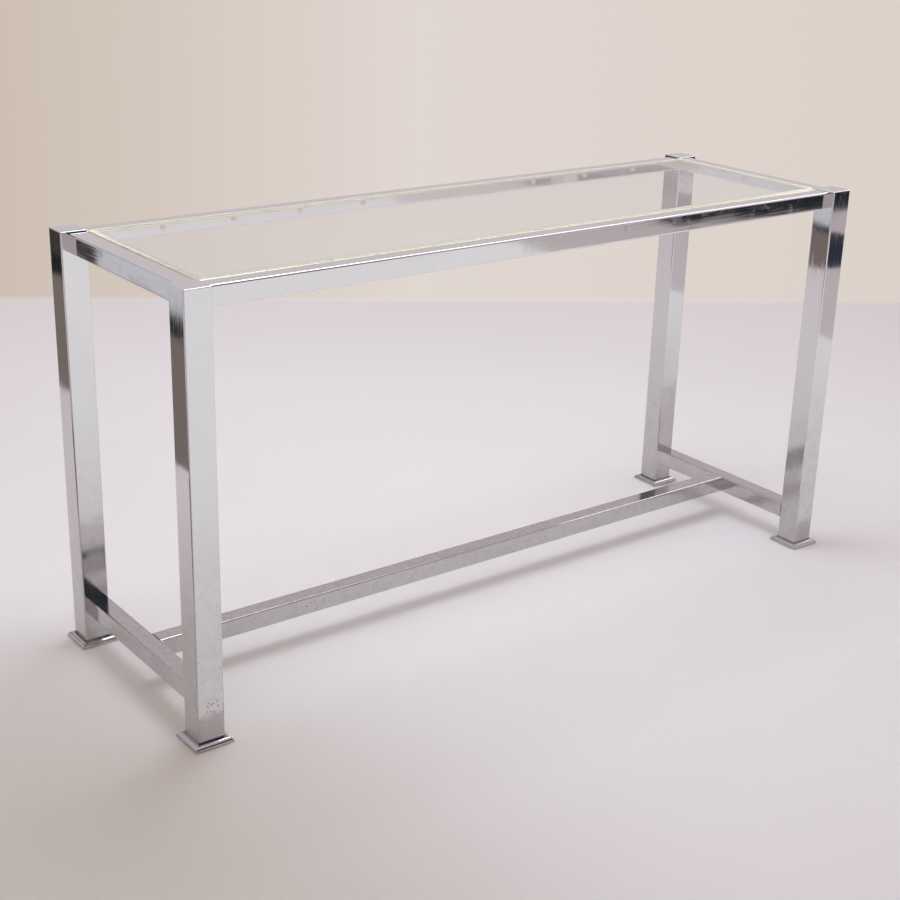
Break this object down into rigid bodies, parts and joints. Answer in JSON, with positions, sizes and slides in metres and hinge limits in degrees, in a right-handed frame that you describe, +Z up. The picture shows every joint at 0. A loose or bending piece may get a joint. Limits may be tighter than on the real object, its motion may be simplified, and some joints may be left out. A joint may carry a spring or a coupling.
{
  "type": "console table",
  "caption": "Long low console table: square chrome tube legs on flared feet, brass-edged inset glass top, and an H of stretchers.",
  "frame": {"origin": "on the floor at the middle of the footprint", "axes": "+X along the length, +Y towards the back, +Z up"},
  "size_m": [1.3926, 0.4624, 0.7117],
  "materials": {
    "chrome": "polished chrome plate, lightly hazed",
    "brass": "polished brass, slightly tarnished",
    "glass": "clear float glass, ground edges",
    "steel": "zinc-plated steel clips and screws",
    "vinyl": "clear soft vinyl",
    "nylon": "moulded white nylon"
  },
  "bodies": {
    "frame": {"leg_front_left": "chrome", "leg_cap_front_left": "chrome", "foot_front_left": "chrome", "glide_front_left": "nylon", "leg_front_right": "chrome", "leg_cap_front_right": "chrome", "foot_front_right": "chrome", "glide_front_right": "nylon", "leg_back_left": "chrome", "leg_cap_back_left": "chrome", "foot_back_left": "chrome", "glide_back_left": "nylon", "leg_back_right": "chrome", "leg_cap_back_right": "chrome", "foot_back_right": "chrome", "glide_back_right": "nylon", "rail_front": "chrome", "brass_trim_front": "brass", "rail_right": "chrome", "brass_trim_right": "brass", "rail_back": "chrome", "brass_trim_back": "brass", "rail_left": "chrome", "brass_trim_left": "brass", "trim_clips": "steel", "trim_screws": "steel", "glass_pads": "vinyl", "stretcher_left": "chrome", "stretcher_right": "chrome", "stretcher_centre": "chrome"},
    "glass": {"glass_top": "glass"}
  },
  "joints": [
    {"name": "glass_lift", "type": "slide", "parent": "frame", "child": "glass", "axis": [0, 0, 1], "range_m": [0, 0.12]}
  ]
}
